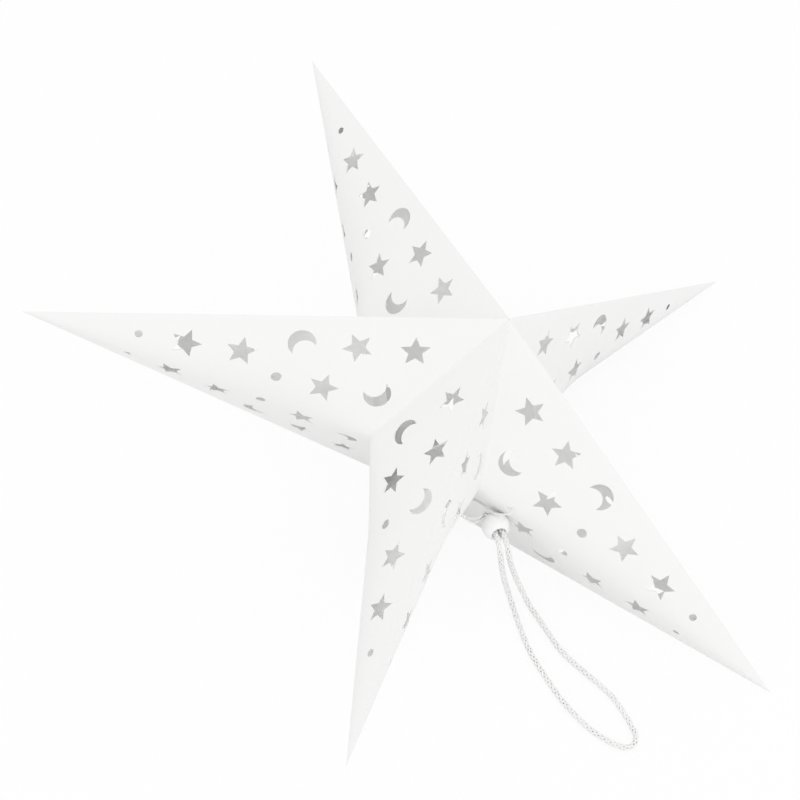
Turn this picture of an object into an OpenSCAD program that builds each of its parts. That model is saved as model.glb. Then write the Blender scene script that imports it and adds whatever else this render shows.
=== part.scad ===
/* [Star] */
// Distance from the star's axis to each tip
tip_reach = 236; // [200:1:300]
// Distance from the star's axis to the bottom of each valley
valley_reach = 58; // [52:1:66]
// Height of the front apex and depth of the back apex, from the middle plane
apex_height = 79; // [70:1:95]
// Angle between the two lower arms, whose seam is tied and not glued
seam_angle = 68; // [64:1:72]

/* [Card] */
// Thickness of the card
card_thickness = 0.5; // [0.4:0.05:0.8]
// Width of the glue flaps inside the valley edges
flap_width = 9; // [6:0.5:12]
// How far the soft side bend reaches from the side line, along a valley edge
side_bend = 60; // [40:1:75]
// How far the bend reaches where the card is glued into the valley
corner_bend = 11; // [6:0.5:20]
// Length over which the side bend narrows towards the valley
crease_length = 64; // [40:1:90]
// How closely the bend follows the sharp corner, where 1 is loose
bend_tightness = 1.8; // [1:0.1:3]

/* [Cut-outs] */
// Outer radius of the punched stars
star_radius = 8.4; // [6:0.1:9]
// Radius of the notches between a punched star's points
star_notch = 3.8; // [3:0.1:4.5]
// Outer radius of the punched moons
moon_radius = 7.4; // [6:0.1:8]
// Radius of the round bite that makes a moon
moon_bite = 6.4; // [5:0.1:7]
// Distance from a moon's centre to the centre of its bite
moon_bite_shift = 5; // [4:0.1:6]
// Diameter of the dot near the tip
tip_dot = 4.2; // [3:0.1:5]
// Diameter of the dot beside the two stars
side_dot = 5.6; // [4:0.1:7]
// Dot near the tip: distance from the tip along the ridge, distance off the ridge
tip_dot_place = [58.5, 11.5]; // [0:0.5:250]
// First star from the tip: along the ridge, off the ridge, turn
first_star_place = [82.5, 16.5, 4]; // [-180:0.5:250]
// Second star from the tip: along the ridge, off the ridge, turn
second_star_place = [111, 20.5, -7]; // [-180:0.5:250]
// Dot beside the stars: along the ridge, off the ridge
side_dot_place = [129.5, 35.5]; // [0:0.5:250]
// Moon beside the ridge: along the ridge, off the ridge, turn of its horns
ridge_moon_place = [142, 15.5, 70]; // [-180:0.5:250]
// Star near the side line: along the ridge, off the ridge, turn
side_star_place = [154, 41, 2]; // [-180:0.5:250]
// Third star beside the ridge: along the ridge, off the ridge, turn
third_star_place = [171, 17.5, 29]; // [-180:0.5:250]
// Moon near the side line: along the ridge, off the ridge, turn of its horns
side_moon_place = [182.5, 44, -110]; // [-180:0.5:250]
// Fourth star beside the ridge: along the ridge, off the ridge, turn
fourth_star_place = [201, 19.5, -18]; // [-180:0.5:250]

/* [Seam tie] */
// Diameter of the string hole in each lower arm
string_hole = 2.6; // [2:0.1:4]
// Distance of the string hole from the valley, along the side line
string_hole_inset = 20.5; // [16:0.5:30]
// Diameter of the thin string
string_diameter = 1.2; // [0.8:0.1:1.5]
// Diameter of the knot that holds the string inside each lower arm
knot_diameter = 4; // [3.4:0.1:6]

/* [Cord and bead] */
// Diameter of the knitted cord
cord_diameter = 3.5; // [2.5:0.1:3.8]
// Diameter of the bead
bead_diameter = 15; // [13:0.5:18]
// Diameter of the hole through the bead
bead_bore = 8; // [7.8:0.1:9]
// Rounding of the bead's hole at each mouth
bead_mouth = 0.8; // [0.4:0.1:1.2]

/* [Hidden] */
$fn = 64;

card_white = [0.96, 0.96, 0.95];
string_white = [0.93, 0.93, 0.92];
bead_white = [0.95, 0.95, 0.95];

// Facets across one soft side bend, and rings along the stretch where it narrows
bend_steps = 8;
crease_steps = 4;
// How far a punch reaches to either side of the flat face that it cuts
punch_reach = 6;
// Length added to a cutter so that it clears the surface that it starts from
spare = 2;

// Where each arm points, counted from the side that lies on the surface
arm_angle = (360 - seam_angle) / 4;
right_turn = arm_angle / 2;
top_turn = right_turn + arm_angle;
left_turn = top_turn + arm_angle;
lower_right_turn = -arm_angle / 2;
lower_left_turn = lower_right_turn - seam_angle;

tip = [tip_reach, 0, 0];
front_apex = [0, 0, apex_height];
back_apex = [0, 0, -apex_height];
valley_edge_length = norm([valley_reach, apex_height]);

function unit(v) = v / norm(v);
function ease(x) = x * x * (3 - 2 * x);

// Bottom of the valley beside an arm that points along X, at a signed half angle
function valley(half) = valley_reach * [cos(half), sin(half), 0];

// One point of a valley edge: its sharp corner is drawn out into a conic bend
function bend_point(corner, reach, k) =
    let (share = reach / valley_edge_length,
         start = corner + (front_apex - corner) * share,
         end = corner + (back_apex - corner) * share,
         w0 = pow(1 - k, 2),
         w1 = 2 * bend_tightness * k * (1 - k),
         w2 = pow(k, 2))
    (start * w0 + corner * w1 + end * w2) / (w0 + w1 + w2);

// How wide the bend is at a share of the way from the tip to the valley
function bend_reach(share, loose) =
    share <= loose ? side_bend
    : side_bend + (corner_bend - side_bend) * ease((share - loose) / (1 - loose));

// One ring round the arm: front ridge, left bend, back ridge, right bend
function ring(share, left, right, loose) =
    let (reach = bend_reach(share, loose),
         edge = concat([front_apex],
                       [for (i = [0:bend_steps]) bend_point(valley(left), reach, i / bend_steps)],
                       [back_apex],
                       [for (i = [bend_steps:-1:0]) bend_point(valley(right), reach, i / bend_steps)]))
    [for (p = edge) tip + (p - tip) * share];

// Outer form of an arm along X: straight lines run from its tip to its two valley edges
module arm_form(left, right) {
    loose = 1 - crease_length / norm(tip - valley(left));
    shares = [for (i = [0:crease_steps]) loose + (1 - loose) * i / crease_steps];
    around = 2 * bend_steps + 4;
    half_way = bend_steps + 2;
    last = 1 + crease_steps * around;
    points = concat([tip], [for (s = shares) each ring(s, left, right, loose)]);
    faces = concat(
        [for (i = [0:around - 1]) [0, 1 + (i + 1) % around, 1 + i]],
        [for (r = [0:crease_steps - 1])
            for (i = [0:around - 1])
                let (a = 1 + r * around + i, b = 1 + r * around + (i + 1) % around)
                each [[a, b, b + around], [a, b + around, a + around]]],
        [[for (i = [half_way:-1:0]) last + i]],
        [[for (i = [around:-1:half_way]) last + i % around]]);
    polyhedron(points, faces, convexity = 6);
}

// How far the inner form stands back along the arm, to leave walls of the card's thickness
function inner_shift(half) =
    card_thickness / abs(unit(cross(valley(half) - tip, front_apex - tip)).x);

// The space between the two glued flaps: a wedge set in by the card's thickness
module between_flaps(left, right) {
    long = 2 * tip_reach;
    set_in = card_thickness / sin((left - right) / 2);
    middle = (left + right) / 2;
    corner = set_in * [cos(middle), sin(middle)];
    linear_extrude(4 * apex_height, center = true)
        polygon([corner,
                 corner + long * [cos(right), sin(right)],
                 [2 * long, 0],
                 corner + long * [cos(left), sin(left)]]);
}

// The opening inside one valley edge's flap, cut through the flap only
module flap_window(half) {
    window_height = apex_height - flap_width * valley_edge_length / valley_reach;
    window_reach = valley_reach - flap_width * valley_edge_length / apex_height;
    slope = window_height / window_reach;
    rotate([90, 0, half])
        linear_extrude(2 * spare, center = true)
            polygon([[-spare, window_height], [0, window_height], [window_reach, 0],
                     [0, -window_height], [-spare, -window_height]]);
}

// Puts a flat drawing on a face: X runs from the tip along the ridge, Y towards the side line
module on_face(corner, apex) {
    along = unit(apex - tip);
    off = unit((corner - tip) - along * ((corner - tip) * along));
    out = cross(along, off);
    multmatrix([[along.x, off.x, out.x, tip.x],
                [along.y, off.y, out.y, tip.y],
                [along.z, off.z, out.z, tip.z],
                [0, 0, 0, 1]])
        children();
}

module punched_star(place) {
    translate([place[0], place[1]])
        rotate(place[2])
            polygon([for (i = [0:9]) (i % 2 == 0 ? star_radius : star_notch) * [cos(36 * i), sin(36 * i)]]);
}

module punched_moon(place) {
    translate([place[0], place[1]])
        rotate(place[2])
            difference() {
                circle(r = moon_radius);
                translate([moon_bite_shift, 0])
                    circle(r = moon_bite);
            }
}

module punched_dot(place, diameter) {
    translate([place[0], place[1]])
        circle(d = diameter);
}

// Every cut-out of one face
module punches() {
    linear_extrude(2 * punch_reach, center = true) {
        punched_dot(tip_dot_place, tip_dot);
        punched_dot(side_dot_place, side_dot);
        punched_star(first_star_place);
        punched_star(second_star_place);
        punched_star(third_star_place);
        punched_star(fourth_star_place);
        punched_star(side_star_place);
        punched_moon(ridge_moon_place);
        punched_moon(side_moon_place);
    }
}

// Place of the string hole on the side line at a signed half angle
function string_hole_place(half) =
    valley(half) + unit(tip - valley(half)) * string_hole_inset;

// Direction out of the side at the string hole
function string_hole_out(half) =
    let (along = unit(tip - valley(half)))
    half > 0 ? [-along.y, along.x, 0] : [along.y, -along.x, 0];

module string_hole_cutter(half) {
    place = string_hole_place(half);
    out = string_hole_out(half);
    translate(place)
        rotate([0, 90, atan2(out.y, out.x)])
            cylinder(d = string_hole, h = 2 * punch_reach, center = true);
}

// One folded arm along X, open where it meets its neighbours apart from the flaps
module folded_arm(left, right, tied = 0) {
    difference() {
        arm_form(left, right);
        intersection() {
            translate([-inner_shift(arm_angle / 2), 0, 0])
                arm_form(left, right);
            between_flaps(left, right);
        }
        flap_window(left);
        flap_window(right);
        for (corner = [valley(left), valley(right)])
            for (apex = [front_apex, back_apex])
                on_face(corner, apex)
                    punches();
        if (tied != 0)
            string_hole_cutter(tied);
    }
}

// The star leans until its back apex and the tips of two arms lie on the surface
lean = atan2(apex_height, tip_reach * cos(arm_angle / 2));

// A point of the upright star, at the place that it has in the leaning star
function leaned(p) =
    let (up = p.z + apex_height)
    [p.x * cos(lean) + up * sin(lean), p.y, up * cos(lean) - p.x * sin(lean)];

function tip_at(turn) = leaned(tip_reach * [cos(turn), sin(turn), 0]);
middle_x = (tip_at(left_turn).x + tip_at(right_turn).x) / 2;
middle_y = (tip_at(lower_left_turn).y + tip_at(top_turn).y) / 2;

// Lays the star on the surface, with the middle of its outline at the origin
module lie_down() {
    translate([-middle_x, -middle_y, 0])
        rotate([0, lean, 0])
            translate([0, 0, apex_height])
                children();
}

module placed_arm(turn, left, right, tied = 0) {
    color(card_white)
        lie_down()
            rotate([0, 0, turn])
                folded_arm(left, right, tied);
}

glued = arm_angle / 2;
seam = seam_angle / 2;

module left_arm() {
    placed_arm(left_turn, glued, -glued);
}

module top_arm() {
    placed_arm(top_turn, glued, -glued);
}

module right_arm() {
    placed_arm(right_turn, glued, -glued);
}

module lower_right_arm() {
    placed_arm(lower_right_turn, glued, -seam, -seam);
}

module lower_left_arm() {
    placed_arm(lower_left_turn, seam, -glued, seam);
}

// Place of the bead, and the direction in which the cord leaves it
bead_at = [48.5, -61, 46];
bead_turn = -74;
bead_rise = 9;

// Route of the knitted cord: out of the bead, down, round the loop and back into the bead
cord_route = [
    [44.9, -55.4, 45], [48.7, -68.6, 47.2], [49.7, -73, 46.2], [50.5, -76.2, 42.6],
    [51.5, -77.5, 35], [53, -77.2, 25], [54.8, -77, 15], [57, -79, 7.4],
    [59, -83, 3.3], [61, -90, 1.9], [63.6, -100, 1.8], [66.8, -110.6, 1.8],
    [71.2, -120.8, 1.8], [76.4, -130.6, 1.8], [82, -140.6, 1.8], [88.6, -149.8, 1.8],
    [96, -158.4, 1.8], [103.8, -165, 1.8], [110.6, -169, 1.8], [116, -170.4, 1.8],
    [120, -168.2, 1.8], [121.2, -163.6, 1.8], [119.6, -158.4, 1.8], [116, -150.4, 1.8],
    [111.4, -142, 1.8], [105, -134.4, 1.8], [97.8, -127, 1.8], [90.4, -119.6, 1.8],
    [84, -111.8, 1.8], [79, -103, 1.8], [74.2, -94, 1.8], [71, -88.4, 1.9],
    [67.8, -83, 3.3], [65, -79, 7.4], [61.8, -77, 15], [58.8, -76.4, 25],
    [56.4, -76.4, 35], [55, -75.2, 42.6], [53.8, -72, 46.2], [52.4, -67.6, 47.2],
    [48.6, -54.4, 45]];

// Routes of the thin string: from one knot past the cord's ends to the other, and a second strand
knotted_strand = [
    [26.4, -66.9, 70.7], [31.2, -70.1, 69.1], [35.2, -66.7, 62.6], [39, -60.8, 54.8],
    [41.4, -55.6, 48.8], [42.9, -53, 46.4], [44.8, -52.9, 45.4], [46.4, -52.7, 45.8],
    [46.2, -53.3, 47.6], [45.4, -55, 51], [48.6, -59, 55], [53, -61, 58],
    [56.2, -60.4, 58.5], [57.8, -55, 57.6]];
second_strand = [
    [26.7, -67.3, 70.1], [31.2, -70.3, 67.6], [34.6, -68, 61], [37.8, -62.6, 53],
    [40.3, -57, 46.6], [42.4, -53.4, 43.8], [44.4, -53.6, 43.6], [44.9, -55.4, 44.2]];

// Shape of a knot: where its rings stand along the string, and how wide they are
knot_steps = [-0.48, -0.33, 0, 0.33, 0.48];
knot_widths = [0.3, 0.8, 1, 0.8, 0.3];

tube_sides = 8;

// Direction of a route at one of its points
function heading(route, i) =
    unit(route[min(i + 1, len(route) - 1)] - route[max(i - 1, 0)]);

// A round tube along a route, with one ring at each point, of one diameter or one for each ring
module tube(route, diameter) {
    reference = unit([-1, 0, 1]);
    count = len(route);
    last = (count - 1) * tube_sides;
    points = [for (i = [0:count - 1])
        let (side = unit(cross(heading(route, i), reference)),
             lift = cross(heading(route, i), side))
        for (k = [0:tube_sides - 1])
            let (a = 360 * k / tube_sides,
                 wide = is_list(diameter) ? diameter[i] : diameter)
            route[i] + wide / 2 * (cos(a) * side + sin(a) * lift)];
    faces = concat(
        [[for (k = [0:tube_sides - 1]) k]],
        [for (i = [0:count - 2])
            for (k = [0:tube_sides - 1])
                let (a = i * tube_sides + k, b = i * tube_sides + (k + 1) % tube_sides)
                each [[a, a + tube_sides, b + tube_sides], [a, b + tube_sides, b]]],
        [[for (k = [tube_sides - 1:-1:0]) last + k]]);
    polyhedron(points, faces, convexity = 8);
}

// Rings of a knot that is tied at one point of the string, whose string leaves towards another
function knot_route(at, towards) =
    [for (step = knot_steps) at + unit(towards - at) * knot_diameter * step];

// The thin string, with a knot behind each of the two string holes
module tie_string() {
    last = len(knotted_strand) - 1;
    far_knot = knot_route(knotted_strand[last], knotted_strand[last - 1]);
    route = concat(knot_route(knotted_strand[0], knotted_strand[1]),
                   [for (i = [1:last - 1]) knotted_strand[i]],
                   [for (i = [4:-1:0]) far_knot[i]]);
    knot = knot_diameter * knot_widths;
    color(string_white) {
        tube(route, concat(knot, [for (i = [1:last - 1]) string_diameter], knot));
        tube(second_strand, string_diameter);
    }
}

// Half outline of the bead: a ball with a bore whose mouths are rounded
module bead_outline() {
    ball = bead_diameter / 2;
    bore = bead_bore / 2;
    rim = sqrt(pow(ball - bead_mouth, 2) - pow(bore + bead_mouth, 2));
    difference() {
        circle(r = ball);
        translate([-ball - spare, -ball])
            square([ball + spare + bore, 2 * ball]);
        for (end = [-1, 1])
            translate([0, end > 0 ? rim : -rim - ball])
                square([bore + bead_mouth, ball]);
    }
    for (end = [-1, 1])
        translate([bore + bead_mouth, end * rim])
            circle(r = bead_mouth);
}

module cord_bead() {
    color(bead_white)
        translate(bead_at)
            rotate([0, 90 - bead_rise, bead_turn])
                rotate_extrude()
                    bead_outline();
}

module hanging_loop() {
    color(string_white)
        tube(cord_route, cord_diameter);
}

left_arm();
top_arm();
right_arm();
lower_right_arm();
lower_left_arm();
tie_string();
cord_bead();
hanging_loop();
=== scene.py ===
"""Paper star ornament: five folded card arms with punched stars, moons and dots, a seam tied with
thin string, a bead and a braided hanging cord. Shapes are worked out in millimetres in the frame
of the CAD model, and every mesh is written in metres."""

import math

import bpy
import numpy as np
from mathutils import Matrix, Vector
from mathutils.geometry import delaunay_2d_cdt


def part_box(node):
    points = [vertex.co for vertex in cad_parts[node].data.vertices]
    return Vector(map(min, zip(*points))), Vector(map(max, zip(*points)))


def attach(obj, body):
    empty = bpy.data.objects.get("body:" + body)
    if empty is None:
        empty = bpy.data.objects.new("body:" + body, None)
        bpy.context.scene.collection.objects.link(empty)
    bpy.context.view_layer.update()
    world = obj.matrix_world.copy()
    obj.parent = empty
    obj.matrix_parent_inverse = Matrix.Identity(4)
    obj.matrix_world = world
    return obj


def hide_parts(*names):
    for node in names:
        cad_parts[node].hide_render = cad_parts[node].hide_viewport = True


bl_info = {
    "name": "Paper Star Ornament",
    "version": (1, 0, 0),
    "blender": (4, 5, 0),
    "location": "3D View > Sidebar > Paper Star",
    "description": "Builds the dressed model of a folded paper star with punched card arms",
    "category": "Add Mesh",
}

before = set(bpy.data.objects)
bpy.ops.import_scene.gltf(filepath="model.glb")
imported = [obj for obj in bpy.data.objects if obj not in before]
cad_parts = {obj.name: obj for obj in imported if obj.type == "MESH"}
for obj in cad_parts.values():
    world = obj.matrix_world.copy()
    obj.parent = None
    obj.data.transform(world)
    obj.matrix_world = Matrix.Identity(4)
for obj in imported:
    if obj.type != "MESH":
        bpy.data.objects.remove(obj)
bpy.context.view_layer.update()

MM = 0.001
BODY = "root"

# Cut-outs of one face: millimetres along the ridge from the tip, off the ridge, and turn in degrees
STAR_PLACES = [(82.5, 16.5, 4), (111, 20.5, -7), (171, 17.5, 29), (201, 19.5, -18), (154, 41, 2)]
MOON_PLACES = [(142, 15.5, 70), (182.5, 44, -110)]
DOT_PLACES = [(58.5, 11.5, 4.2), (129.5, 35.5, 5.6)]

# Lamps inside each arm, which stand in for light that comes through the card: how far in from the
# tip they are, and each arm's shares of the inner power
LAMP_PLACES = (0.3, 0.55, 0.8, 1.0)
LAMP_SHARES = {"left_arm": (0.12, 0.22, 0.58, 0.05), "top_arm": (0.11, 0.2, 0.47, 0.05),
               "right_arm": (0.14, 0.24, 0.72, 0.05), "lower_right_arm": (0.12, 0.34, 0.4, 0.05),
               "lower_left_arm": (0.24, 0.25, 0.72, 1.2)}

# Light between the two lower arms, in metres, and its share of the inner power
SEAM_LIGHT_AT = (0.055, -0.12, 0.06)
SEAM_LIGHT_SHARE = 0.4

# Distance from the tip in which the card grows to its full thickness, so that the tip stays closed
TIP_TAPER = 9

# Spacing of the points along the braided cord and the twisted string, and length of a string's twist
CORD_SPACING = 0.55
STRING_SPACING = 0.25
STRING_TWIST = 2.6

# Direction that no cord or string runs along
SQUARE_TO = (-1, 0, 1)

# Braid: a yarn's radius as a share of the cord's, and its wave, width and the core's sinking as
# shares of that radius, with how much of an outer yarn is left free of painted shade
YARN_SHARE = 0.27
YARN_WAVE = 0.5
YARN_WIDTH = 1.2
CORE_SINK = 0.6
SHADE_FREE_SHARE = 0.9

# Points of half a row at the tip, and how many more it has at the valley edge
ROW_POINTS, MORE_POINTS = 6, 26

# Steps along half of a valley edge's flap
FLAP_STEPS = 48

# Large soft lamp, the point that it faces, and its size, in metres
KEY_AT = (0.55, -1.0, 1.5)
KEY_TOWARDS = (0, 0, 0.05)
KEY_SIZE = 1.2

# Rows of points from tip to valley edge, and how they crowd towards the corner of that edge
SHEET_ROWS = 70
EDGE_CROWDING = 1.6

# Route of the cord, in millimetres: out of the bead, round the loop and back into the bead
CORD_ROUTE = [
    (44.9, -55.4, 45), (48.7, -68.6, 47.2), (49.7, -73, 46.2), (50.5, -76.2, 42.6),
    (51.5, -77.5, 35), (53, -77.2, 25), (54.8, -77, 15), (57, -79, 7.4),
    (59, -83, 3.3), (61, -90, 1.9), (63.6, -100, 1.8), (66.8, -110.6, 1.8),
    (71.2, -120.8, 1.8), (76.4, -130.6, 1.8), (82, -140.6, 1.8), (88.6, -149.8, 1.8),
    (96, -158.4, 1.8), (103.8, -165, 1.8), (110.6, -169, 1.8), (116, -170.4, 1.8),
    (120, -168.2, 1.8), (121.2, -163.6, 1.8), (119.6, -158.4, 1.8), (116, -150.4, 1.8),
    (111.4, -142, 1.8), (105, -134.4, 1.8), (97.8, -127, 1.8), (90.4, -119.6, 1.8),
    (84, -111.8, 1.8), (79, -103, 1.8), (74.2, -94, 1.8), (71, -88.4, 1.9),
    (67.8, -83, 3.3), (65, -79, 7.4), (61.8, -77, 15), (58.8, -76.4, 25),
    (56.4, -76.4, 35), (55, -75.2, 42.6), (53.8, -72, 46.2), (52.4, -67.6, 47.2),
    (48.6, -54.4, 45)]

# Routes of the thin string, from knot to knot past the cord's ends, and of its second strand
KNOTTED_STRAND = [
    (26.4, -66.9, 70.7), (31.2, -70.1, 69.1), (35.2, -66.7, 62.6), (39, -60.8, 54.8),
    (41.4, -55.6, 48.8), (42.9, -53, 46.4), (44.8, -52.9, 45.4), (46.4, -52.7, 45.8),
    (46.2, -53.3, 47.6), (45.4, -55, 51), (48.6, -59, 55), (53, -61, 58),
    (56.2, -60.4, 58.5), (57.8, -55, 57.6)]
SECOND_STRAND = [
    (26.7, -67.3, 70.1), (31.2, -70.3, 67.6), (34.6, -68, 61), (37.8, -62.6, 53),
    (40.3, -57, 46.6), (42.4, -53.4, 43.8), (44.4, -53.6, 43.6), (44.9, -55.4, 44.2)]

# The photograph's camera, in metres
CAMERA_AT = (-0.04726864, -0.67428027, 1.03776621)
CAMERA_LOOK = (0.03778, 0.57395, -0.81802)
CAMERA_UP = (-0.00378, 0.81868, 0.57424)
CAMERA_LENS = 97.687


def size(name, default, description):
    """A length that a user may change, given here in millimetres."""
    return bpy.props.FloatProperty(name=name, description=description, default=default * MM,
                                   min=0.0, unit="LENGTH", subtype="DISTANCE", precision=5)


def colour(name, default, description):
    """A colour that a user may change, as linear red, green and blue."""
    return bpy.props.FloatVectorProperty(name=name, description=description, default=default,
                                         min=0.0, max=1.0, size=3, subtype="COLOR")


class PaperStarSizes(bpy.types.PropertyGroup):
    tip_reach: size("Tip reach", 236, "Distance from the star's axis to each tip")
    valley_reach: size("Valley reach", 58, "Distance from the axis to the bottom of each valley")
    front_height: size("Front height", 79, "Height of the front apex above the middle plane")
    back_height: size("Back height", 79, "Depth of the back apex below the middle plane")
    seam_angle: bpy.props.FloatProperty(name="Seam angle", default=math.radians(68),
                                        description="Angle between the two lower arms",
                                        subtype="ANGLE", unit="ROTATION")
    thickness: size("Card thickness", 0.5, "Thickness of the card")
    flap_width: size("Flap width", 9, "Width of the glue flaps inside the valley edges")
    side_bend: size("Side bend", 60, "Reach of the soft side bend along a valley edge")
    corner_bend: size("Corner bend", 11, "Reach of the bend where it is glued into the valley")
    crease_length: size("Crease length", 64, "Length over which the side bend narrows")
    bend_tightness: bpy.props.FloatProperty(name="Bend tightness", default=1.8, min=1.0,
                                            description="How closely the bend follows its corner")
    star_radius: size("Star radius", 8.4, "Outer radius of the punched stars")
    star_notch: size("Star notch", 3.8, "Radius of the notches of the punched stars")
    moon_radius: size("Moon radius", 7.4, "Outer radius of the punched moons")
    moon_bite: size("Moon bite", 6.4, "Radius of the round bite of the moons")
    moon_shift: size("Moon bite shift", 5, "Distance from a moon's centre to its bite's centre")
    string_hole: size("String hole", 2.6, "Diameter of the string hole in each lower arm")
    string_hole_inset: size("String hole inset", 20.5, "Distance of the string hole from the valley")


class PaperStarCord(bpy.types.PropertyGroup):
    cord_diameter: size("Cord diameter", 3.5, "Diameter of the braided cord")
    braid_pitch: size("Braid pitch", 14.6, "Length in which one yarn goes once round the cord")
    string_diameter: size("String diameter", 1.2, "Diameter of the thin string")
    knot_diameter: size("Knot diameter", 4, "Diameter of the knots inside the lower arms")
    bead_diameter: size("Bead diameter", 15, "Diameter of the bead")
    bead_bore: size("Bead bore", 7.4, "Diameter of the hole through the bead")
    bead_mouth: size("Bead mouth", 0.8, "Rounding of the hole's mouths")


class PaperStarFinish(bpy.types.PropertyGroup):
    card: colour("Card", (0.94, 0.94, 0.935), "Colour of the card")
    yarn: colour("Cord", (0.97, 0.97, 0.965), "Colour of the cord and string")
    bead: colour("Bead", (0.97, 0.97, 0.965), "Colour of the bead")


class PaperStarStage(bpy.types.PropertyGroup):
    sky: bpy.props.FloatProperty(name="Sky", default=0.95, min=0.0,
                                 description="Strength of the even light from all round")
    key: bpy.props.FloatProperty(name="Key", default=2.6, min=0.0, unit="POWER",
                                 description="Power of the large soft lamp")
    inner: bpy.props.FloatProperty(name="Inner", default=0.01, min=0.0, unit="POWER",
                                   description="Power that the lamps inside the arms share")
    floor_white: bpy.props.FloatProperty(name="Floor white", default=0.86, min=0.0, max=1.0,
                                         description="How much of the floor is plain white to the camera",
                                         subtype="FACTOR")


# Shader expressions


class Shade:
    """One socket of a node tree. Arithmetic on it adds Math nodes."""

    def __init__(self, tree, socket):
        self.tree = tree
        self.socket = socket

    def math(self, operation, other):
        return node(self.tree, "ShaderNodeMath", {"operation": operation}, {0: self, 1: other})

    def __add__(self, other):
        return self.math("ADD", other)

    def __sub__(self, other):
        return self.math("SUBTRACT", other)

    def __mul__(self, other):
        return self.math("MULTIPLY", other)


def node(tree, kind, settings=None, values=None, output=0):
    """Adds a node: its settings first, then the value or link of each socket. Returns its output."""
    new = tree.nodes.new(kind)
    for key, value in (settings or {}).items():
        setattr(new, key, value)
    for key, value in (values or {}).items():
        if isinstance(value, Shade):
            tree.links.new(value.socket, new.inputs[key])
        else:
            new.inputs[key].default_value = value
    return Shade(tree, new.outputs[output])


def material(name):
    """A new material with an empty tree, and its output node."""
    new = bpy.data.materials.new(name)
    new.use_nodes = True
    new.node_tree.nodes.clear()
    out = new.node_tree.nodes.new("ShaderNodeOutputMaterial")
    return new, new.node_tree, out


def blend_colour(tree, factor, a, b):
    """A colour between two others, by a Mix node."""
    return node(tree, "ShaderNodeMix", {"data_type": "RGBA"}, {0: factor, 6: a, 7: b}, 2)


def card_material(finish):
    """White card: even, very slightly mottled, with fine fibres and a faint bump."""
    new, tree, out = material("white_card")
    place = node(tree, "ShaderNodeTexCoord", output=3)
    cloud = node(tree, "ShaderNodeTexNoise", None,
                 {"Vector": place, "Scale": 38.0, "Detail": 3.0, "Roughness": 0.55})
    fibre = node(tree, "ShaderNodeTexNoise", None,
                 {"Vector": place, "Scale": 1500.0, "Detail": 4.0, "Roughness": 0.65})
    base = (*finish.card, 1.0)
    shade = (*(c * 0.98 for c in finish.card), 1.0)
    tone = blend_colour(tree, cloud * 0.35 + fibre * 0.3, base, shade)
    bump = node(tree, "ShaderNodeBump", None,
                {"Strength": 0.12, "Distance": 0.00012, "Height": fibre + cloud * 0.4})
    skin = node(tree, "ShaderNodeBsdfPrincipled", None,
                {"Base Color": tone, "Roughness": fibre * 0.1 + 0.72, "IOR": 1.42,
                 "Specular IOR Level": 0.3, "Normal": bump})
    tree.links.new(skin.socket, out.inputs["Surface"])
    return new


def yarn_material(finish):
    """Soft white yarn: fine twisted fibres along the strand, a little sheen, and painted shade: a darker
    tone where a point attribute says that the surface lies far in among the yarns or on the core."""
    new, tree, out = material("white_yarn")
    along = node(tree, "ShaderNodeUVMap", {"uv_map": "strand"})
    twist = node(tree, "ShaderNodeTexWave",
                 {"wave_type": "BANDS", "bands_direction": "DIAGONAL"},
                 {"Vector": along, "Scale": 1.6, "Distortion": 1.2, "Detail": 2.0,
                  "Detail Scale": 2.0})
    place = node(tree, "ShaderNodeTexCoord", output=3)
    fuzz = node(tree, "ShaderNodeTexNoise", None,
                {"Vector": place, "Scale": 2600.0, "Detail": 3.0, "Roughness": 0.6})
    base = (*finish.yarn, 1.0)
    shade = (*(c * 0.9 for c in finish.yarn), 1.0)
    # Painted shade: a share for each point, larger where the surface lies far in among the yarns
    hollow = node(tree, "ShaderNodeAttribute", {"attribute_name": "hollow"}, output=2)
    drift = node(tree, "ShaderNodeTexNoise", None,
                 {"Vector": place, "Scale": 70.0, "Detail": 1.0, "Roughness": 0.5})
    # Painted shade colour: the yarn at 0.3 of its own colour, blended in by that share and made uneven by
    # a noise
    painted_cavity_shade = (*(c * 0.3 for c in finish.yarn), 1.0)
    surface = blend_colour(tree, twist * 0.35 + fuzz * 0.3, base, shade)
    tone = blend_colour(tree, hollow * (drift * 3.2 - 1.2), surface, painted_cavity_shade)
    bump = node(tree, "ShaderNodeBump", None,
                {"Strength": 0.35, "Distance": 0.0001, "Height": twist * 0.6 + fuzz * 0.6})
    skin = node(tree, "ShaderNodeBsdfPrincipled", None,
                {"Base Color": tone, "Roughness": fuzz * 0.1 + 0.82, "Specular IOR Level": 0.25,
                 "Sheen Weight": 0.25, "Sheen Roughness": 0.5, "Normal": bump})
    tree.links.new(skin.socket, out.inputs["Surface"])
    return new


def bead_material(finish):
    """Smooth white moulded plastic with a soft gloss."""
    new, tree, out = material("white_bead")
    place = node(tree, "ShaderNodeTexCoord", output=3)
    cloud = node(tree, "ShaderNodeTexNoise", None,
                 {"Vector": place, "Scale": 160.0, "Detail": 2.0, "Roughness": 0.5})
    base = (*finish.bead, 1.0)
    shade = (*(c * 0.97 for c in finish.bead), 1.0)
    bump = node(tree, "ShaderNodeBump", None,
                {"Strength": 0.05, "Distance": 0.0001, "Height": cloud})
    skin = node(tree, "ShaderNodeBsdfPrincipled", None,
                {"Base Color": blend_colour(tree, cloud * 0.5, base, shade),
                 "Roughness": cloud * 0.08 + 0.26, "IOR": 1.49, "Normal": bump})
    tree.links.new(skin.socket, out.inputs["Surface"])
    return new


def once(name, make, *parts):
    """The named material, made the first time that it is asked for."""
    return bpy.data.materials.get(name) or make(*parts)


# Shapes


def unit(v):
    """A vector, or each row of an array, at length one."""
    v = np.asarray(v, float)
    return v / np.linalg.norm(v, axis=-1, keepdims=True)


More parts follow.
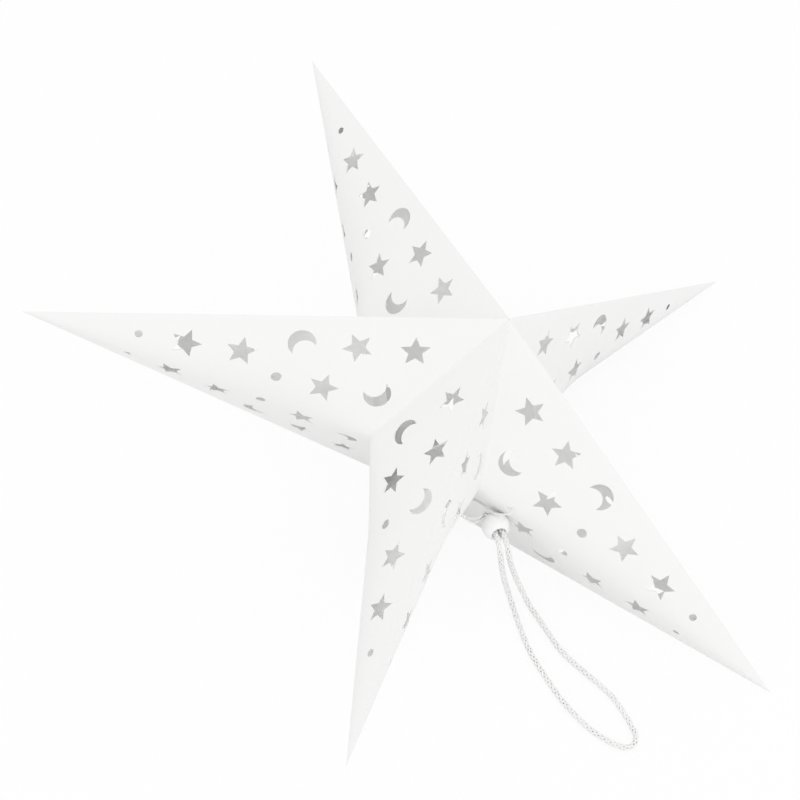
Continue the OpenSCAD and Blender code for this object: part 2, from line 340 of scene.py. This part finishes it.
def add_piece(name, points, faces, finish, replaced, uv=None, normals=None, hollow=None):
    """Puts points (mm) and faces into a mesh object that rides on the model's one body.
    uv gives one pair for each corner of each face, normals one vector for each corner, and a share of
    painted shade for each point."""
    mesh = bpy.data.meshes.new(name)
    mesh.from_pydata((np.asarray(points) * MM).tolist(), [], faces)
    mesh.polygons.foreach_set("use_smooth", np.ones(len(mesh.polygons), bool))
    if uv is not None:
        layer = mesh.uv_layers.new(name="strand")
        layer.data.foreach_set("uv", np.asarray(uv, np.float32).ravel())
    # Painted shade: a point attribute that darkens the yarn's colour
    if hollow is not None:
        layer = mesh.attributes.new("hollow", "FLOAT", "POINT")
        layer.data.foreach_set("value", np.asarray(hollow, np.float32))
    mesh.update()
    if normals is not None:
        mesh.normals_split_custom_set(np.asarray(normals, float).tolist())
    mesh.materials.append(finish)
    piece = bpy.data.objects.new(name, mesh)
    bpy.context.scene.collection.objects.link(piece)
    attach(piece, BODY)
    for node_name in replaced:
        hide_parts(node_name)
    return piece


def smooth_route(points, spacing):
    """A Catmull-Rom curve through points: between two of them, each coordinate is the cubic whose
    slopes are half the difference of the neighbours. Resampled at even spacing along its length."""
    p = np.asarray(points, float)
    ends = np.vstack([2 * p[0] - p[1], p, 2 * p[-1] - p[-2]])
    t = np.linspace(0, 1, 24, endpoint=False)[None, :, None]
    a, b, c, d = (ends[i:len(ends) - 3 + i][:, None, :] for i in range(4))
    curve = 0.5 * (2 * b + (c - a) * t + (2 * a - 5 * b + 4 * c - d) * t ** 2
                   + (3 * b - 3 * c + d - a) * t ** 3)
    curve = np.vstack([curve.reshape(-1, 3), p[-1]])
    along = np.concatenate([[0], np.cumsum(np.linalg.norm(np.diff(curve, axis=0), axis=1))])
    count = max(2, int(round(along[-1] / spacing)) + 1)
    wanted = np.linspace(0, along[-1], count)
    return np.stack([np.interp(wanted, along, curve[:, k]) for k in range(3)], axis=1), wanted


def route_frame(line):
    """Two directions square to a line at each of its points: the first is square to a fixed
    direction too, and the second is square to the first."""
    heading = unit(np.gradient(line, axis=0))
    side = unit(np.cross(heading, unit(SQUARE_TO)))
    return side, np.cross(heading, side)


def tube_faces(rings, sides, first=0):
    """Quads between neighbouring rings of one tube, with a cap of one face at each end."""
    i, k = np.meshgrid(np.arange(rings - 1), np.arange(sides), indexing="ij")
    a = first + i * sides + k
    b = first + i * sides + (k + 1) % sides
    quads = np.stack([a, a + sides, b + sides, b], axis=-1).reshape(-1, 4).tolist()
    start = [first + k for k in range(sides)]
    end = [first + (rings - 1) * sides + k for k in reversed(range(sides))]
    return quads + [start, end]


def tube_uv(rings, sides, along, pitch):
    """UV of each corner of tube_faces: round the tube, and along it in tube diameters."""
    i, k = np.meshgrid(np.arange(rings - 1), np.arange(sides), indexing="ij")
    v0, v1 = along[i] / pitch, along[i + 1] / pitch
    u0, u1 = k / sides, (k + 1) / sides
    quads = np.stack([np.stack([u0, v0], -1), np.stack([u0, v1], -1),
                      np.stack([u1, v1], -1), np.stack([u1, v0], -1)], axis=2).reshape(-1, 2)
    return np.vstack([quads, np.zeros((2 * sides, 2))])


def tube_points(line, radius, sides):
    """Rings of a round tube: at each point of the line, radius times the cosine of the angle along
    one square direction and times its sine along the other."""
    side, lift = route_frame(line)
    turn = 2 * np.pi * np.arange(sides) / sides
    radius = np.broadcast_to(radius, len(line))[:, None, None]
    ring = (np.cos(turn)[None, :, None] * side[:, None, :]
            + np.sin(turn)[None, :, None] * lift[:, None, :])
    return (line[:, None, :] + radius * ring).reshape(-1, 3)


def braid(line, along, outer, pitch, carriers=8, sides=6):
    """A round braid about a line, over a core. Half of the yarns wind one way and half the other,
    each at a mean radius plus a cosine of its angle, so that it passes over one crossing yarn and
    under the next. Returns points, faces and UV of all yarns, and each point's share of painted
    shade from how far in it lies: 0 at the outside and 1 at the core."""
    side, lift = route_frame(line)
    yarn = outer * YARN_SHARE
    wave = yarn * YARN_WAVE
    middle = outer - yarn - wave
    half = carriers // 2
    points, faces, uv = [], [], []
    for j in range(carriers):
        way = 1 if j < half else -1
        turn = way * (2 * np.pi * along / pitch) + 2 * np.pi * (j % half) / half
        over = way * np.cos(half * 2 * np.pi * along / pitch + np.pi * (j % 2))
        out = np.cos(turn)[:, None] * side + np.sin(turn)[:, None] * lift
        path = line + (middle + wave * over)[:, None] * out
        run = unit(np.gradient(path, axis=0))
        flat = unit(np.cross(run, out))
        up = np.cross(flat, run)
        a = 2 * np.pi * np.arange(sides) / sides
        ring = (np.cos(a)[None, :, None] * flat[:, None, :] * yarn * YARN_WIDTH
                + np.sin(a)[None, :, None] * up[:, None, :] * yarn)
        faces += tube_faces(len(line), sides, len(points) * len(line) * sides)
        points.append((path[:, None, :] + ring).reshape(-1, 3))
        uv.append(tube_uv(len(line), sides, along, 2 * yarn))
    core = middle - CORE_SINK * yarn
    faces += tube_faces(len(line), sides, len(points) * len(line) * sides)
    points.append(tube_points(line, core, sides))
    uv.append(tube_uv(len(line), sides, along, 2 * yarn))
    points = np.vstack(points)
    rings = points.reshape(carriers + 1, len(line), sides, 3)
    radius = np.linalg.norm(rings - line[None, :, None], axis=-1)
    # Painted shade: points below the outer part of a yarn get a growing share of darkening, and the core
    # gets all of it
    shown = outer - SHADE_FREE_SHARE * yarn
    painted_cavity_shade = np.clip((shown - radius) / (shown - core), 0, 1)
    return points, faces, np.vstack(uv), painted_cavity_shade.ravel()


class ArmSide:
    """One side of an arm along X, from its front ridge round the side bend to its back ridge.
    The flat sheet is described by the distance from the tip along the side line and the height
    above it, which is negative on the back face. Straight lines run from the tip over a wide
    conic bend, which narrows on the last stretch before the valley edge. Arrays of two hold the
    front face's value and the back face's."""

    def __init__(self, sizes, half_angle):
        mm = 1 / MM
        self.tip = np.array([sizes.tip_reach * mm, 0, 0])
        self.valley = sizes.valley_reach * mm * np.array([math.cos(half_angle),
                                                          math.sin(half_angle), 0])
        self.apex = np.array([[0, 0, sizes.front_height * mm], [0, 0, -sizes.back_height * mm]])
        self.side_length = float(np.linalg.norm(self.tip - self.valley))
        self.edge_length = np.linalg.norm(self.apex - self.valley, axis=1)
        self.to_apex = unit(self.apex - self.valley)
        self.w_axis = unit(self.valley - self.tip)
        self.cos = self.to_apex @ self.w_axis
        self.sin = np.sqrt(1 - self.cos ** 2)
        self.h_axis = unit(self.to_apex - self.cos[:, None] * self.w_axis)
        self.side_bend = sizes.side_bend * mm
        self.corner_bend = sizes.corner_bend * mm
        self.loose = 1 - sizes.crease_length * mm / self.side_length
        self.tightness = sizes.bend_tightness

    def edge_at(self, q):
        """Flat points of the valley edge: the back apex at -1, the corner at 0, the front apex at 1,
        and closer together towards the corner."""
        face = (q < 0).astype(int)
        distance = self.edge_length[face] * np.abs(q) ** EDGE_CROWDING
        return np.stack([self.side_length + distance * self.cos[face],
                         np.sign(q) * distance * self.sin[face]], 1)

    def share_and_distance(self, flat):
        """Which valley-edge point a flat point looks at: the share of the way from the tip, that
        point's distance from the corner, and which face it is on."""
        face = (flat[:, 1] < 0).astype(int)
        w, h = np.maximum(flat[:, 0], 1e-6), np.abs(flat[:, 1])
        distance = h * self.side_length / (w * self.sin[face] - h * self.cos[face])
        return w / (self.side_length + distance * self.cos[face]), distance, face

    def on_ridge(self, flat):
        """Which flat points lie on the front or the back ridge."""
        share, distance, face = self.share_and_distance(flat)
        return distance > self.edge_length[face] - 1e-3

    def bent(self, flat):
        """The sheet's place in space: beyond the reach of the bend it is flat, and within it the
        valley edge is a rational quadratic curve whose middle control point is the corner."""
        share, distance, face = self.share_and_distance(flat)
        s = np.clip((share - self.loose) / (1 - self.loose), 0, 1)
        reach = self.side_bend + (self.corner_bend - self.side_bend) * s * s * (3 - 2 * s)
        k = np.clip(0.5 * (1 - (1 - 2 * face) * distance / reach), 0, 1)[:, None]
        start = self.valley + reach[:, None] * self.to_apex[0]
        end = self.valley + reach[:, None] * self.to_apex[1]
        w0, w1, w2 = (1 - k) ** 2, 2 * self.tightness * k * (1 - k), k ** 2
        conic = (start * w0 + self.valley * w1 + end * w2) / (w0 + w1 + w2)
        straight = self.valley + distance[:, None] * self.to_apex[face]
        edge = np.where((distance < reach)[:, None], conic, straight)
        return self.tip + share[:, None] * (edge - self.tip)

    def outward(self, flat):
        """Outward direction of the bent sheet, from small steps along and across it."""
        step = 0.01
        at = np.stack([np.maximum(flat[:, 0], 1.0), flat[:, 1] * np.where(flat[:, 0] < 1.0, 0, 1)], 1)
        along = self.bent(at + [step, 0]) - self.bent(at - [step, 0])
        across = self.bent(at + [0, step]) - self.bent(at - [0, step])
        return unit(np.cross(along, across))

    def on_sheet(self, face_points, back):
        """Flat sheet points whose bent place lies square above points of the flat face, found by
        moving each by its remaining error. Face points run along the ridge and off it."""
        face, way = (1, -1) if back else (0, 1)
        ridge = unit(self.edge_at(np.array([float(way)]))[0] * [1, way])
        off = np.array([ridge[1], -ridge[0]])
        wanted = face_points[:, :1] * ridge + face_points[:, 1:] * off
        flat = wanted.copy()
        for _ in range(40):
            flat[:, 1] = np.maximum(flat[:, 1], 0.01)
            place = self.bent(flat * [1, way]) - self.tip
            shown = np.stack([place @ self.w_axis, place @ self.h_axis[face]], axis=1)
            flat = flat + 0.6 * (wanted - shown)
        return flat * [1, way]


def star_outline(sizes):
    """Ten corners that alternate between two radii, with a point between each two corners."""
    radius = np.where(np.arange(10) % 2 == 0, sizes.star_radius, sizes.star_notch) / MM
    turn = np.radians(36 * np.arange(10))
    corner = radius[:, None] * np.stack([np.cos(turn), np.sin(turn)], 1)
    return np.stack([corner, (corner + np.roll(corner, -1, 0)) / 2], 1).reshape(-1, 2)


def moon_outline(sizes):
    """The long arc of a circle between its crossings with a second circle, and that circle's near
    arc back."""
    big, bite, shift = (v / MM for v in (sizes.moon_radius, sizes.moon_bite, sizes.moon_shift))
    x = (big ** 2 - bite ** 2 + shift ** 2) / (2 * shift)
    y = math.sqrt(big ** 2 - x ** 2)
    a, b = math.atan2(y, x), math.atan2(y, x - shift)
    outer = np.linspace(a, 2 * np.pi - a, 22)
    inner = np.linspace(2 * np.pi - b, b, 16)[1:-1]
    return np.vstack([big * np.stack([np.cos(outer), np.sin(outer)], 1),
                      bite * np.stack([np.cos(inner), np.sin(inner)], 1) + [shift, 0]])


def ring_outline(diameter, count=18):
    """A circle about the origin."""
    turn = 2 * np.pi * np.arange(count) / count
    return diameter / 2 * np.stack([np.cos(turn), np.sin(turn)], 1)


def turned(outline, degrees):
    """An outline turned to the left about the origin."""
    a = math.radians(degrees)
    return outline @ np.array([[math.cos(a), math.sin(a)], [-math.sin(a), math.cos(a)]])


def inside(points, outline):
    """Which points lie inside a closed outline, by counting crossings to the right of each."""
    x, y = points[:, :1], points[:, 1:]
    x0, y0 = outline[:, 0][None], outline[:, 1][None]
    x1, y1 = np.roll(outline[:, 0], -1)[None], np.roll(outline[:, 1], -1)[None]
    rise = np.where(y1 == y0, 1e-12, y1 - y0)
    crosses = ((y0 > y) != (y1 > y)) & (x < (x1 - x0) * (y - y0) / rise + x0)
    return crosses.sum(1) % 2 == 1


def gap_to(points, outline):
    """Distance from each point to the nearest edge of a closed outline."""
    a, b = outline[None], np.roll(outline, -1, 0)[None]
    ab = b - a
    t = np.clip(((points[:, None] - a) * ab).sum(-1) / (ab ** 2).sum(-1), 0, 1)
    return np.linalg.norm(points[:, None] - (a + t[..., None] * ab), axis=-1).min(1)


def cut_sheet(side, sizes, string_hole):
    """The die-cut sheet of one side as flat points and triangles: rows from tip to valley edge,
    the outlines of its cut-outs, and triangles between them where no cut-out is."""
    grid, first_last = [], []
    for s in np.arange(1, SHEET_ROWS + 1) / SHEET_ROWS:
        count = int(np.ceil(ROW_POINTS + MORE_POINTS * s))
        row = s * side.edge_at(np.linspace(-1, 1, 2 * count + 1))
        first_last.append((row[0], row[-1]))
        grid.append(row)
    border = np.vstack([[[0, 0]], [f for f, _ in first_last[:-1]], grid[-1],
                        [l for _, l in first_last[:-1]][::-1]])
    free = np.vstack([row[1:-1] for row in grid[:-1]])
    holes = []
    shapes = [(star_outline(sizes), p) for p in STAR_PLACES]
    shapes += [(moon_outline(sizes), p) for p in MOON_PLACES]
    shapes += [(ring_outline(p[2]), (p[0], p[1], 0)) for p in DOT_PLACES]
    for outline, place in shapes:
        there = turned(outline, place[2]) + [place[0], place[1]]
        holes.append(side.on_sheet(there, False))
        holes.append(side.on_sheet(there, True)[::-1])
    if string_hole:
        at = side.side_length - sizes.string_hole_inset / MM
        holes.append(ring_outline(sizes.string_hole / MM, 16) * [1, 1.15] + [at, 0])
    widest_hole, least_gap = 14, 0.7
    keep = np.ones(len(free), bool)
    for hole in holes:
        near = np.abs(free - hole.mean(0)).max(1) < widest_hole
        spot = np.where(near)[0]
        bad = inside(free[spot], hole) | (gap_to(free[spot], hole) < least_gap)
        keep[spot[bad]] = False
    free = free[keep]
    points = [border] + holes + [free]
    edges, at = [], 0
    for loop in [border] + holes:
        n = len(loop)
        edges += [(at + i, at + (i + 1) % n) for i in range(n)]
        at += n
    flat = np.vstack(points)
    got = delaunay_2d_cdt([Vector(p) for p in flat.tolist()], edges, [], 0, 1e-5)
    flat = np.array([tuple(v) for v in got[0]])
    triangles = np.array(got[2])
    middle = flat[triangles].mean(1)
    keep = inside(middle, border)
    for hole in holes:
        keep &= ~inside(middle, hole)
    triangles = triangles[keep]
    a, b, c = (flat[triangles[:, i]] for i in range(3))
    turn = np.cross(np.c_[b - a, np.zeros(len(a))], np.c_[c - a, np.zeros(len(a))])[:, 2]
    triangles[turn < 0] = triangles[turn < 0][:, ::-1]
    triangles = triangles[np.abs(turn) > 1e-7]
    return flat, triangles


def wall(outer, inner, normals, triangles):
    """A sheet with thickness: outer faces, inner faces turned round, and a rim along each edge that
    only one triangle has. Returns points, faces and one normal for each corner."""
    count = len(outer)
    faces = triangles.tolist() + (triangles[:, ::-1] + count).tolist()
    corner = [normals[triangles].reshape(-1, 3), -normals[triangles[:, ::-1]].reshape(-1, 3)]
    edges = np.vstack([triangles[:, [0, 1]], triangles[:, [1, 2]], triangles[:, [2, 0]]])
    key = np.sort(edges, 1)
    _, first, seen = np.unique(key, axis=0, return_index=True, return_counts=True)
    rim = edges[first[seen == 1]]
    a, b = rim[:, 0], rim[:, 1]
    quads = np.stack([a, a + count, b + count, b], 1)
    points = np.vstack([outer, inner])
    flat = unit(np.cross(points[a + count] - points[a], points[b] - points[a]) + 1e-12)
    corner.append(np.repeat(flat, 4, axis=0))
    return points, faces + quads.tolist(), np.vstack(corner)


def flap(side, sizes):
    """The glue flap inside the valley edge: a band between the edge's curve and the same curve
    drawn in towards the axis, one card thick."""
    edge = side.bent(side.edge_at(np.linspace(-1, 1, 2 * FLAP_STEPS + 1)) * [0.9999, 1])
    drawn_in = sizes.flap_width * side.edge_length[0] / (sizes.valley_reach * side.apex[0, 2])
    inner = edge * (1 - drawn_in)
    points = np.stack([edge, inner], 1).reshape(-1, 3)
    i = np.arange(2 * FLAP_STEPS)
    a, b, c, d = 2 * i, 2 * i + 2, 2 * i + 3, 2 * i + 1
    triangles = np.vstack([np.stack([a, b, c], 1), np.stack([a, c, d], 1)])
    normal = unit(np.cross(side.valley, side.apex[0]))
    if normal[0] < 0:
        normal = -normal
    back = points + normal * sizes.thickness / MM
    got = np.cross(points[triangles[0][1]] - points[triangles[0][0]],
                   points[triangles[0][2]] - points[triangles[0][0]])
    if got @ normal > 0:
        triangles = triangles[:, ::-1]
    return wall(points, back, np.broadcast_to(-normal, points.shape), triangles)


def arm_angle(sizes):
    """Angle between two arms that are glued together."""
    return (2 * math.pi - sizes.seam_angle) / 4


def arm_plan(sizes):
    """Each arm's name, where it points before the star leans, and how its two sides are joined."""
    arm = arm_angle(sizes)
    return [("left_arm", 2.5 * arm, "glued", "glued"), ("top_arm", 1.5 * arm, "glued", "glued"),
            ("right_arm", 0.5 * arm, "glued", "glued"),
            ("lower_right_arm", -0.5 * arm, "glued", "seam"),
            ("lower_left_arm", -0.5 * arm - sizes.seam_angle, "seam", "glued")]


def settle(points, turn, sizes):
    """Takes points of an arm along X to its place in the resting star: turned about the axis,
    lifted by the back apex's depth, leaned about Y and moved so that the outline's middle is at
    the origin. Returns the points and the turn that they made."""
    reach, height = sizes.tip_reach / MM, sizes.back_height / MM
    arm = arm_angle(sizes)
    lean = math.atan2(height, reach * math.cos(arm / 2))
    spin = Matrix.Rotation(turn, 3, "Z")
    tilt = Matrix.Rotation(lean, 3, "Y")
    tips = {}
    for name, at in (("left", 2.5 * arm), ("right", 0.5 * arm), ("top", 1.5 * arm),
                     ("low", -0.5 * arm - sizes.seam_angle)):
        tips[name] = tilt @ Vector((reach * math.cos(at), reach * math.sin(at), height))
    middle = np.array([(tips["left"].x + tips["right"].x) / 2, (tips["low"].y + tips["top"].y) / 2, 0])
    moved = points @ np.array(spin).T + [0, 0, height]
    return moved @ np.array(tilt).T - middle, np.array(tilt @ spin)


def point_light(name, power, size, at):
    """A small round lamp that the camera doesn't see, at a place in metres."""
    lamp = bpy.data.lights.new(name, "POINT")
    lamp.energy = power
    lamp.shadow_soft_size = size
    light = bpy.data.objects.new(name, lamp)
    light.location = at
    light.visible_camera = False
    bpy.context.scene.collection.objects.link(light)


def lathe(profile, centre, axis, steps=72):
    """A profile of radius and height turned about an axis: radius times the cosine and the sine of
    the angle along two square directions, and height along the axis."""
    axis = unit(axis)
    side = unit(np.cross(axis, [0, 0, 1]))
    lift = np.cross(axis, side)
    turn = 2 * np.pi * np.arange(steps) / steps
    ring = np.cos(turn)[:, None] * side + np.sin(turn)[:, None] * lift
    points = (np.asarray(centre) + profile[None, :, 1, None] * axis
              + profile[None, :, 0, None] * ring[:, None, :])
    n = len(profile)
    i, k = np.meshgrid(np.arange(steps), np.arange(n), indexing="ij")
    a, b = i * n + k, ((i + 1) % steps) * n + k
    c, d = ((i + 1) % steps) * n + (k + 1) % n, i * n + (k + 1) % n
    return points.reshape(-1, 3), np.stack([a, b, c, d], -1).reshape(-1, 4).tolist()


# Operators


class PAPERSTAR_OT_camera(bpy.types.Operator):
    """Set up the camera that looks at the star as the photograph does"""
    bl_idname = "paperstar.camera"
    bl_label = "Camera"

    def execute(self, context):
        data = bpy.data.cameras.new("photo_camera")
        data.sensor_width = 36.0
        data.lens = CAMERA_LENS
        data.clip_start = 0.05
        data.clip_end = 50.0
        look, up = Vector(CAMERA_LOOK).normalized(), Vector(CAMERA_UP)
        right = look.cross(up).normalized()
        up = right.cross(look)
        turn = Matrix((right, up, -look)).transposed()
        camera = bpy.data.objects.new("photo_camera", data)
        camera.matrix_world = Matrix.Translation(CAMERA_AT) @ turn.to_4x4()
        context.scene.collection.objects.link(camera)
        context.scene.camera = camera
        return {"FINISHED"}


class PAPERSTAR_OT_cord(bpy.types.Operator):
    """Make the braided hanging cord that lies in a loop"""
    bl_idname = "paperstar.cord"
    bl_label = "Hanging cord"

    def execute(self, context):
        cord = context.scene.paper_star_cord
        finish = once("white_yarn", yarn_material, context.scene.paper_star_finish)
        line, along = smooth_route(CORD_ROUTE, CORD_SPACING)
        # The braid also gives each point's share of painted shade, which the mesh keeps as an attribute
        points, faces, uv, painted_cavity_shade = braid(line, along, cord.cord_diameter / MM / 2,
                                        cord.braid_pitch / MM)
        piece = add_piece("braided_cord", points, faces, finish, ["hanging_loop"], uv,
                          hollow=painted_cavity_shade)
        return {"FINISHED"}


class PAPERSTAR_OT_arms(bpy.types.Operator):
    """Make the five folded card arms with their cut-outs and glue flaps"""
    bl_idname = "paperstar.arms"
    bl_label = "Card arms"

    def execute(self, context):
        sizes = context.scene.paper_star_sizes
        finish = once("white_card", card_material, context.scene.paper_star_finish)
        arm, seam = arm_angle(sizes), sizes.seam_angle
        glued, open_side = ArmSide(sizes, arm / 2), ArmSide(sizes, seam / 2)
        sheets = {"glued": (glued, *cut_sheet(glued, sizes, False)),
                  "seam": (open_side, *cut_sheet(open_side, sizes, True))}
        for name, turn, left, right in arm_plan(sizes):
            points, faces, corner = [], [], []
            count = 0
            for kind, flip in ((left, False), (right, True)):
                side, flat, triangles = sheets[kind]
                outer = side.bent(flat)
                out = side.outward(flat)
                ridge = side.on_ridge(flat)
                fold = unit(out * np.array([1, 0, 1]))
                thin = sizes.thickness / MM * np.clip(flat[:, 0] / TIP_TAPER, 0.02, 1)
                depth = thin / np.maximum((fold * out).sum(1), 0.2)
                inner = outer - np.where(ridge[:, None], fold * depth[:, None], out * thin[:, None])
                for p, f, n in (wall(outer, inner, out, triangles), flap(side, sizes)):
                    if flip:
                        p, n = p * [1, -1, 1], n * [1, -1, 1]
                        f = [g[::-1] for g in f]
                        sizes_of = np.array([len(g) for g in f])
                        starts = np.concatenate([[0], np.cumsum(sizes_of)[:-1]])
                        order = np.concatenate([np.arange(s + m - 1, s - 1, -1)
                                                for s, m in zip(starts, sizes_of)])
                        n = n[order]
                    points.append(p)
                    corner.append(n)
                    faces += [[i + count for i in g] for g in f]
                    count += len(p)
            placed, turned_by = settle(np.vstack(points), turn, sizes)
            add_piece(name + "_card", placed, faces, finish, [name],
                      normals=np.vstack(corner) @ turned_by.T)
        return {"FINISHED"}


class PAPERSTAR_OT_string(bpy.types.Operator):
    """Make the thin twisted string that ties the seam, with its two knots"""
    bl_idname = "paperstar.string"
    bl_label = "Seam string"

    def execute(self, context):
        cord = context.scene.paper_star_cord
        finish = once("white_yarn", yarn_material, context.scene.paper_star_finish)
        radius, sides = cord.string_diameter / MM / 2, 8
        points, faces, uv = [], [], []
        count = 0
        for route in (KNOTTED_STRAND, SECOND_STRAND):
            line, along = smooth_route(route, STRING_SPACING)
            side, lift = route_frame(line)
            for start in (0, np.pi):
                turn = 2 * np.pi * along / STRING_TWIST + start
                out = np.cos(turn)[:, None] * side + np.sin(turn)[:, None] * lift
                path = line + radius * 0.5 * out
                points.append(tube_points(path, radius * 0.52, sides))
                faces += tube_faces(len(path), sides, count)
                uv.append(tube_uv(len(path), sides, along, radius))
                count += len(path) * sides
        for at, towards in (KNOTTED_STRAND[:2], KNOTTED_STRAND[:-3:-1]):
            t = np.linspace(0, 2 * np.pi, 120)
            heading = unit(np.subtract(towards, at))
            side = unit(np.cross(heading, SQUARE_TO))
            lift = np.cross(heading, side)
            round_, thick = cord.knot_diameter / MM / 2, radius * 0.8
            reach = round_ - thick
            path = np.asarray(at) + reach * (
                (np.sin(t) + 1.2 * np.sin(2 * t))[:, None] * side / 2.2
                + (np.cos(t) - 1.2 * np.cos(2 * t))[:, None] * lift / 2.2
                - 0.8 * np.sin(3 * t)[:, None] * heading)
            points.append(tube_points(path, thick, sides))
            faces += tube_faces(len(path), sides, count)
            uv.append(tube_uv(len(path), sides, t * reach, radius))
            count += len(path) * sides
        add_piece("twisted_string", np.vstack(points), faces, finish, ["tie_string"],
                  np.vstack(uv))
        return {"FINISHED"}


class PAPERSTAR_OT_bead(bpy.types.Operator):
    """Make the bead that slides on the cord"""
    bl_idname = "paperstar.bead"
    bl_label = "Bead"

    def execute(self, context):
        cord = context.scene.paper_star_cord
        finish = once("white_bead", bead_material, context.scene.paper_star_finish)
        ball, bore = cord.bead_diameter / MM / 2, cord.bead_bore / MM / 2
        mouth = cord.bead_mouth / MM
        rim = math.sqrt((ball - mouth) ** 2 - (bore + mouth) ** 2)
        lean = math.atan2(rim, bore + mouth)
        outside = np.linspace(-lean, lean, 40)
        upper = np.linspace(lean, math.pi, 10)[1:]
        lower = np.linspace(-math.pi, -lean, 10)[:-1]
        profile = np.vstack([
            ball * np.stack([np.cos(outside), np.sin(outside)], 1),
            mouth * np.stack([np.cos(upper), np.sin(upper)], 1) + [bore + mouth, rim],
            np.stack([np.full(7, bore), np.linspace(rim, -rim, 9)[1:-1]], 1),
            mouth * np.stack([np.cos(lower), np.sin(lower)], 1) + [bore + mouth, -rim]])
        low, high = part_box("cord_bead")
        centre = (np.array(low) + np.array(high)) / 2 / MM
        leave = np.subtract(CORD_ROUTE[1], CORD_ROUTE[0])
        points, faces = lathe(profile, centre, leave)
        add_piece("round_bead", points, faces, finish, ["cord_bead"])
        return {"FINISHED"}


class PAPERSTAR_OT_stage(bpy.types.Operator):
    """Set up the white floor, the soft lamp, the even light and the lamps inside the arms"""
    bl_idname = "paperstar.stage"
    bl_label = "Stage"

    def execute(self, context):
        stage = context.scene.paper_star_stage
        context.scene.view_settings.view_transform = "Standard"
        new, tree, out = material("stage_floor")
        plain_white = (1.0, 1.0, 1.0, 1.0)
        skin = node(tree, "ShaderNodeBsdfDiffuse", None, {"Color": (0.9, 0.9, 0.9, 1.0)})
        white = node(tree, "ShaderNodeEmission", None, {"Color": plain_white, "Strength": 1.01})
        seen = node(tree, "ShaderNodeLightPath", output=0)
        mixed = node(tree, "ShaderNodeMixShader", None,
                     {0: seen * stage.floor_white, 1: skin, 2: white})
        tree.links.new(mixed.socket, out.inputs["Surface"])
        mesh = bpy.data.meshes.new("stage_floor")
        reach, under = 6.0, -0.0005
        mesh.from_pydata([(-reach, -reach, under), (reach, -reach, under),
                          (reach, reach, under), (-reach, reach, under)], [], [(0, 1, 2, 3)])
        mesh.materials.append(new)
        floor = bpy.data.objects.new("stage_floor", mesh)
        context.scene.collection.objects.link(floor)
        world = bpy.data.worlds.new("soft_sky")
        world.use_nodes = True
        world.node_tree.nodes.clear()
        end = world.node_tree.nodes.new("ShaderNodeOutputWorld")
        seen = node(world.node_tree, "ShaderNodeLightPath", output=0)
        sky = node(world.node_tree, "ShaderNodeBackground", None,
                   {"Color": plain_white, "Strength": seen * (1 - stage.sky) + stage.sky})
        world.node_tree.links.new(sky.socket, end.inputs["Surface"])
        context.scene.world = world
        lamp = bpy.data.lights.new("soft_key", "AREA")
        lamp.shape = "DISK"
        lamp.size = KEY_SIZE
        lamp.energy = stage.key
        key = bpy.data.objects.new("soft_key", lamp)
        at = Vector(KEY_AT)
        turn = (at - Vector(KEY_TOWARDS)).to_track_quat("Z", "Y").to_matrix()
        key.matrix_world = Matrix.Translation(at) @ turn.to_4x4()
        context.scene.collection.objects.link(key)
        sizes = context.scene.paper_star_sizes
        reach = sizes.tip_reach / MM
        last_lamp = 20
        for name, turn, *joined in arm_plan(sizes):
            for place, share in zip(LAMP_PLACES, LAMP_SHARES[name]):
                spot = np.array([[reach * (1 - place) + last_lamp * place, 0, 0]])
                placed, turned_by = settle(spot, turn, sizes)
                point_light(name + "_light", stage.inner * share, 0.02 * place, placed[0] * MM)
        point_light("seam_light", stage.inner * SEAM_LIGHT_SHARE, 0.03, SEAM_LIGHT_AT)
        return {"FINISHED"}


class PAPERSTAR_PT_panel(bpy.types.Panel):
    """Lists the pieces of the paper star"""
    bl_idname = "PAPERSTAR_PT_panel"
    bl_label = "Paper Star"
    bl_space_type = "VIEW_3D"
    bl_region_type = "UI"
    bl_category = "Paper Star"

    def draw(self, context):
        for name in STEPS:
            self.layout.operator("paperstar." + name)
        for group in ("sizes", "cord", "finish", "stage"):
            box = self.layout.box()
            values = getattr(context.scene, "paper_star_" + group)
            for key in values.__annotations__:
                box.prop(values, key)


GROUPS = {"sizes": PaperStarSizes, "cord": PaperStarCord, "finish": PaperStarFinish,
          "stage": PaperStarStage}
STEPS = ("camera", "cord", "arms", "string", "bead", "stage")
OPERATORS = [PAPERSTAR_OT_camera, PAPERSTAR_OT_cord, PAPERSTAR_OT_arms, PAPERSTAR_OT_string,
             PAPERSTAR_OT_bead, PAPERSTAR_OT_stage]


def register():
    for name, group in GROUPS.items():
        bpy.utils.register_class(group)
        setattr(bpy.types.Scene, "paper_star_" + name, bpy.props.PointerProperty(type=group))
    for operator in OPERATORS + [PAPERSTAR_PT_panel]:
        bpy.utils.register_class(operator)


def unregister():
    for operator in reversed(OPERATORS + [PAPERSTAR_PT_panel]):
        bpy.utils.unregister_class(operator)
    for name, group in GROUPS.items():
        delattr(bpy.types.Scene, "paper_star_" + name)
        bpy.utils.unregister_class(group)


def main():
    register()
    for name in STEPS:
        getattr(bpy.ops.paperstar, name)()


if __name__ == "__main__":
    main()
